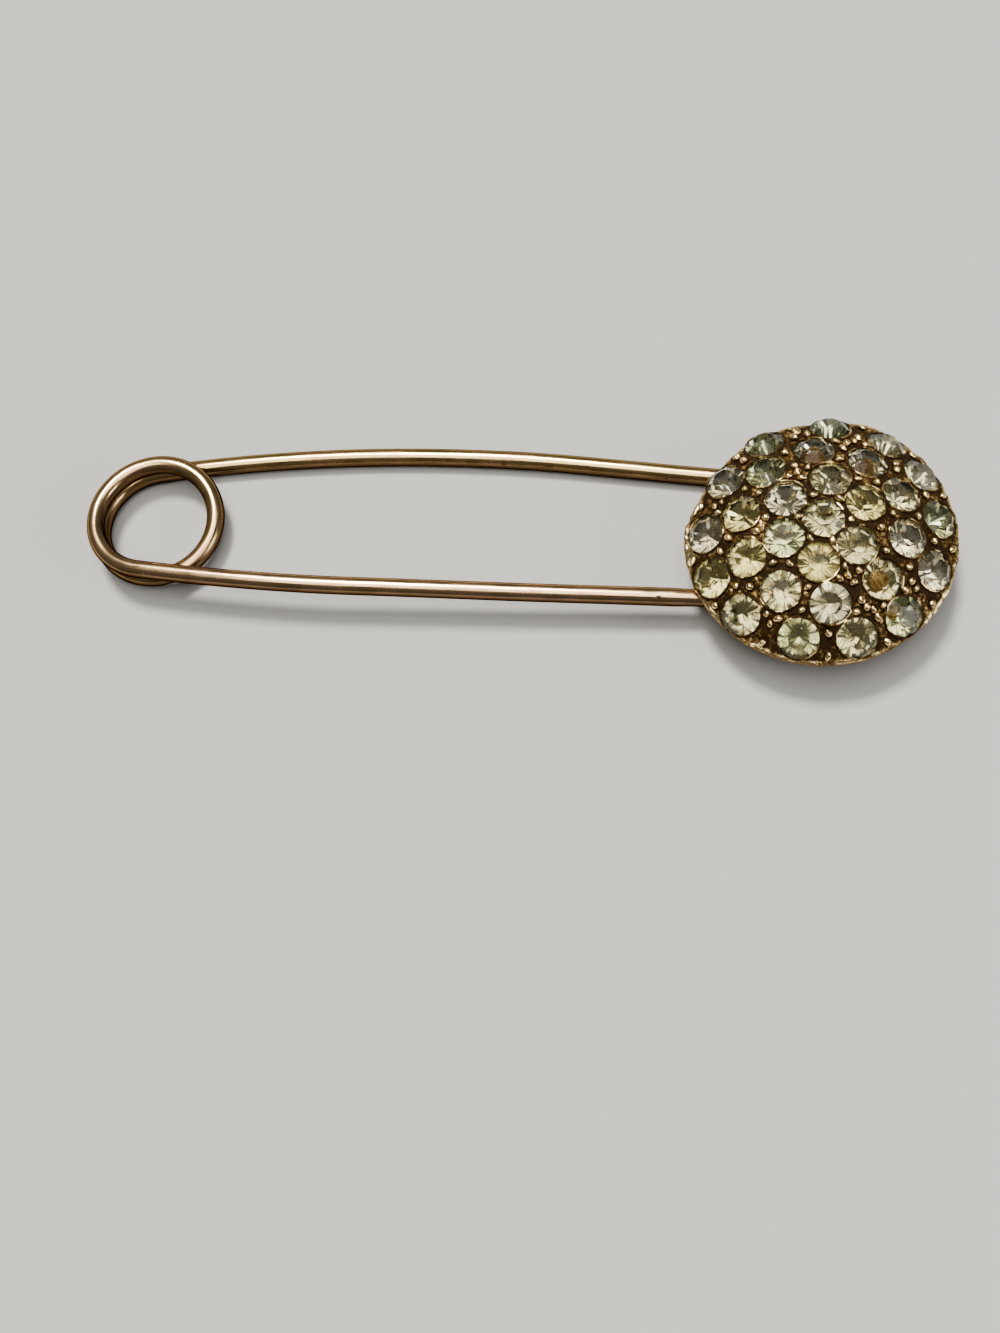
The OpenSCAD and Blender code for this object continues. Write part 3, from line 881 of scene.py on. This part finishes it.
def cast_bar(name, dome, h, outline, roof, start, way, length, finish):
    """A closed outline of (across, up) points carried along a level line, with flat ends. The
    points of its roof, which start at that number, end in the middle of the dome's wall."""
    side = np.array([-way[1], way[0], 0])
    run = np.linspace(0, length, BAR_RINGS)
    points = (start + run[:, None, None] * way
              + outline[:, :1] * side + outline[:, 1:] * UP)
    top = points[:, roof:roof + ROOF_POINTS]
    out = ((top[..., :2] - dome.centre[:2]) ** 2).sum(-1)
    top[..., 2] = dome.centre[2] + np.sqrt((dome.radius - h.wall / 2) ** 2 - out)
    around = np.arange(len(outline))
    last = (BAR_RINGS - 1) * len(outline)
    faces = [ring_faces(BAR_RINGS, len(outline)), around[None, ::-1], last + around[None]]
    rub = 0.62 + 0.16 * ripple(points, 1.3 * MM, seed=27)
    piece = cast_piece(name, points.reshape(-1, 3), faces, ("cast_back",), finish, rub, sharp=35)
    bevel = piece.modifiers.new("soft_edges", "BEVEL")
    bevel.width, bevel.segments = 0.08 * MM, 2
    bevel.limit_method, bevel.angle_limit = "ANGLE", math.radians(40)


def rib_piece(dome, w, h, points, ways, finish):
    """The rib, a bar with a half-round groove over the back leg."""
    at_leg = np.argmin(np.abs(points[:, 0] - dome.axis[0]))
    way = -ways[at_leg] * [1, 1, 0]
    half = h.rib_width / 2
    groove = arc((0, 0), w.radius + h.leg_gap, math.pi, 0, GROOVE_POINTS)
    roof = np.stack([np.linspace(half, -half, ROOF_POINTS), np.zeros(ROOF_POINTS)], -1)
    outline = np.concatenate([[(-half, 0)], groove, [(half, 0)], roof])
    start = points[at_leg] - way * h.rib_length / 2
    cast_bar("setting_rib", dome, h, outline, len(outline) - ROOF_POINTS, start, way,
             h.rib_length, finish)


def catch_piece(dome, h, stem, finish):
    """The catch, a lug with a round foot whose bore, round the stem, opens through a mouth that
    slopes down and outwards. The mouth's two sides run from the bore to the foot and the wall."""
    far_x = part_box("pin_stem")[1].x - h.tip_out
    at_stem = stem[np.argmin(np.abs(stem[:, 0] - (far_x - h.catch_length / 2)))]
    half = h.catch_bore + h.catch_wall
    bore = np.array([0.0, at_stem[2]])
    down = np.array([-math.cos(h.mouth_slope), -math.sin(h.mouth_slope)])
    over = np.array([down[1], -down[0]])
    reach = math.asin(h.mouth_width / 2 / h.catch_bore)
    out_way = math.pi + h.mouth_slope
    inside = arc(bore, h.catch_bore, out_way - reach, out_way - TURN + reach, BORE_POINTS)
    low = bore - over * h.mouth_width / 2 - np.array([0, half])
    low_lip = low + (-low @ down + math.sqrt((low @ down) ** 2 - low @ low + half ** 2)) * down
    foot = arc((0, half), half, math.atan2(low_lip[1], low_lip[0]), 0, FOOT_POINTS)
    high = bore + over * h.mouth_width / 2
    high_lip = high + down * (high[0] + half) / -down[0]
    roof = np.stack([np.linspace(half, -half, ROOF_POINTS), np.zeros(ROOF_POINTS)], -1)
    outline = np.concatenate([foot, roof, [high_lip], inside])
    start = np.array([far_x - h.catch_length, at_stem[1], 0])
    cast_bar("setting_catch", dome, h, outline, len(foot), start, np.array([1.0, 0, 0]),
             h.catch_length, finish)


def cut_stone(st, tip):
    """Corners and facets of a round stone. The crown is an eight-sided table and eight facets
    that fall from its sides, the pavilion sixteen facets that meet at one point. The facets'
    planes cut a cylinder, so the girdle's edges wave: a plane that falls m to 1 from a table side
    s out stands m (R cos(d) - s) below the table, d round from its middle."""
    around, eighth, sixteenth = np.arange(32), math.pi / 4, math.pi / 8
    turn = around * sixteenth / 2
    side = st.table * math.cos(sixteenth)
    table_z = st.girdle + st.crown
    crown_off = turn % eighth - sixteenth
    upper = table_z - st.crown * (st.radius * np.cos(crown_off) - side) / (st.radius - side)
    pavilion_off = turn % sixteenth - sixteenth / 2
    lower = st.pavilion * (np.cos(pavilion_off) / math.cos(sixteenth / 2) - 1)
    rings = ((st.table, np.arange(8) * eighth, table_z), (st.radius, turn, upper),
             (st.radius, turn, lower))
    points = np.concatenate([radius * level(a) + np.multiply.outer(z + 0 * a, UP)
                             for radius, a, z in rings] + [[[*tip, -st.pavilion]]])
    points[:, 2] -= st.sink
    i, j = np.arange(8), np.arange(16)
    # Numbered from the table, by the girdle's upper and lower edge, to the point
    high, low, point = 8 + around, 40 + around, 72
    crown = np.stack([(i + 1) % 8, i] + [high[(4 * i + k) % 32] for k in range(5)], -1)
    girdle = np.stack([high, low, np.roll(low, -1), np.roll(high, -1)], -1)
    pavilion = np.stack(
        [np.full(16, point), low[(2 * j + 2) % 32], low[2 * j + 1], low[2 * j]], -1)
    return points, [i[None], crown, girdle, pavilion]


def stone_tints(finish):
    """Tint of each stone, by node."""
    tones = {"c": finish.clear_glass, "o": finish.olive_glass, "g": finish.green_glass,
             "y": finish.yellow_glass}
    tints = {f"stone_{ring}_{n}": tones[letter] for ring, letters in RING_TINTS.items()
             for n, letter in enumerate(letters, 1)}
    return {**tints, "stone_centre": finish.olive_glass}


def stone_pieces(dome, st, finish):
    """Each stone on its own node's place, turned by chance about its own axis and leaning a
    little."""
    rng = np.random.default_rng(41)
    materials = [glass_material(), foil_material(finish)]
    tints = stone_tints(finish)
    for name, square in zip(STONE_NODES, squares_along(dome.aims)):
        points, facets = cut_stone(st, rng.uniform(-st.tip_shift, st.tip_shift, 2))
        spin = about_z(rng.uniform(0, TURN))
        lean = about_z(rng.uniform(0, TURN)) @ about_x(st.lean * rng.uniform(0, 1))
        place = dome.centre + dome.radius * square[2] + points @ spin.T @ lean.T @ square
        tint = np.array([*(np.array(tints[name]) * rng.uniform(0.93, 1.0)), 1.0])
        piece = new_piece(
            "cut_" + name, place, facets, materials, "stone", TINT,
            np.broadcast_to(tint, (len(place), 4)), smooth=False,
            kinds=np.repeat([0, 0, 0, 1], [len(group) for group in facets]))
        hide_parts(name)
        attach(piece, BODY)


def add_light(name, kind, place, power, tone, extent):
    """A square soft light, or a sun, that faces the brooch."""
    data = bpy.data.lights.new(name, kind)
    data.energy, data.color = power, tone
    if kind == "AREA":
        data.shape, data.size = "SQUARE", extent
    else:
        data.angle = extent
    light = place_object(name, data)
    light.rotation_mode = "QUATERNION"
    light.rotation_quaternion = (Vector(LIGHT_TARGET) - Vector(place)).to_track_quat("-Z", "Y")
    light.location = place


def add_surroundings(stage):
    """Plain surroundings: pale where the camera sees them, dim where they light the object."""
    world = bpy.data.worlds.new("studio")
    world.use_nodes = True
    wires = Wiring(world.node_tree)
    seen = wires.add("Background", {"Color": SEEN_COLOUR, "Strength": 1.0})
    lit = wires.add("Background", {"Color": AMBIENT_COLOUR, "Strength": stage.ambient})
    both = wires.add("MixShader", {
        "Fac": wires.add("LightPath").outputs["Is Camera Ray"], 1: lit.outputs[0],
        2: seen.outputs[0]})
    out = next(node for node in world.node_tree.nodes if node.type == "OUTPUT_WORLD")
    wires.feed(out, {"Surface": both.outputs[0]})
    bpy.context.scene.world = world


def stage_pieces(stage, finish):
    """A plain pale floor, soft studio lights and the camera."""
    half = stage.floor_size / 2
    mesh = bpy.data.meshes.new("floor")
    corners = [(-half, -half, 0), (half, -half, 0), (half, half, 0), (-half, half, 0)]
    mesh.from_pydata(corners, [], [(0, 1, 2, 3)])
    floor = place_object("floor", mesh)
    wires, shader, material = new_material("pale_floor")
    wires.feed(shader, {
        "Base Color": rgba(finish.floor), "Roughness": 1.0, "Specular IOR Level": 0.0})
    mesh.materials.append(material)
    add_surroundings(stage)
    for light in LIGHTS:
        add_light(*light)
    data = bpy.data.cameras.new("camera")
    data.sensor_fit, data.sensor_width, data.lens = "AUTO", 36, stage.lens
    data.clip_start, data.clip_end = 0.01, 20
    camera = place_object("camera", data)
    camera.location, camera.rotation_euler = stage.camera_place, stage.camera_turn
    bpy.context.scene.camera = camera


# Operators

class BROOCH_OT_stage(bpy.types.Operator):
    """Adds the floor, the lights and the camera"""
    bl_idname = "brooch.stage"
    bl_label = "Stage"

    def execute(self, context):
        stage_pieces(context.scene.brooch_stage, context.scene.brooch_finish)
        return {"FINISHED"}


class BROOCH_OT_wire(bpy.types.Operator):
    """Builds the back leg, the coil and the pin stem"""
    bl_idname = "brooch.wire"
    bl_label = "Wire"

    def execute(self, context):
        scene = context.scene
        wire_pieces(scene.brooch_wire, scene.brooch_head, scene.brooch_finish)
        return {"FINISHED"}


class BROOCH_OT_setting(bpy.types.Operator):
    """Builds the cast head: dome, collars, grains, rib and catch"""
    bl_idname = "brooch.setting"
    bl_label = "Setting"

    def execute(self, context):
        scene = context.scene
        w, h, st = scene.brooch_wire, scene.brooch_head, scene.brooch_stones
        finish = scene.brooch_finish
        dome = Dome(w, h, st)
        points, ways, borders = wire_line(w, h)
        leg, stem = slice(borders[1]), slice(borders[4], None)
        dome_piece(dome, h, st, finish)
        collar_piece(dome, h, st, finish)
        grain_piece(dome, h, finish)
        rib_piece(dome, w, h, points[leg], ways[leg], finish)
        catch_piece(dome, h, points[stem], finish)
        return {"FINISHED"}


class BROOCH_OT_stones(bpy.types.Operator):
    """Builds the cut stones"""
    bl_idname = "brooch.stones"
    bl_label = "Stones"

    def execute(self, context):
        scene = context.scene
        dome = Dome(scene.brooch_wire, scene.brooch_head, scene.brooch_stones)
        stone_pieces(dome, scene.brooch_stones, scene.brooch_finish)
        return {"FINISHED"}


class BROOCH_PT_panel(bpy.types.Panel):
    """Lists the brooch's operators"""
    bl_label = "Safety Pin Brooch"
    bl_space_type = "VIEW_3D"
    bl_region_type = "UI"
    bl_category = "Brooch"

    def draw(self, context):
        for operator in OPERATORS:
            self.layout.operator(operator.bl_idname)


OPERATORS = (BROOCH_OT_stage, BROOCH_OT_wire, BROOCH_OT_setting, BROOCH_OT_stones)
SETTINGS = {
    "brooch_wire": BroochWireSettings,
    "brooch_head": BroochHeadSettings,
    "brooch_stones": BroochStoneSettings,
    "brooch_finish": BroochFinishSettings,
    "brooch_stage": BroochStageSettings,
}


def register():
    for cls in (*SETTINGS.values(), *OPERATORS, BROOCH_PT_panel):
        bpy.utils.register_class(cls)
    for label, cls in SETTINGS.items():
        setattr(bpy.types.Scene, label, bpy.props.PointerProperty(type=cls))


def unregister():
    for label in SETTINGS:
        delattr(bpy.types.Scene, label)
    for cls in (BROOCH_PT_panel, *OPERATORS, *SETTINGS.values()):
        bpy.utils.unregister_class(cls)


def main():
    """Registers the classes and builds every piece."""
    register()
    bpy.ops.brooch.stage()
    bpy.ops.brooch.wire()
    bpy.ops.brooch.setting()
    bpy.ops.brooch.stones()


if __name__ == "__main__":
    main()
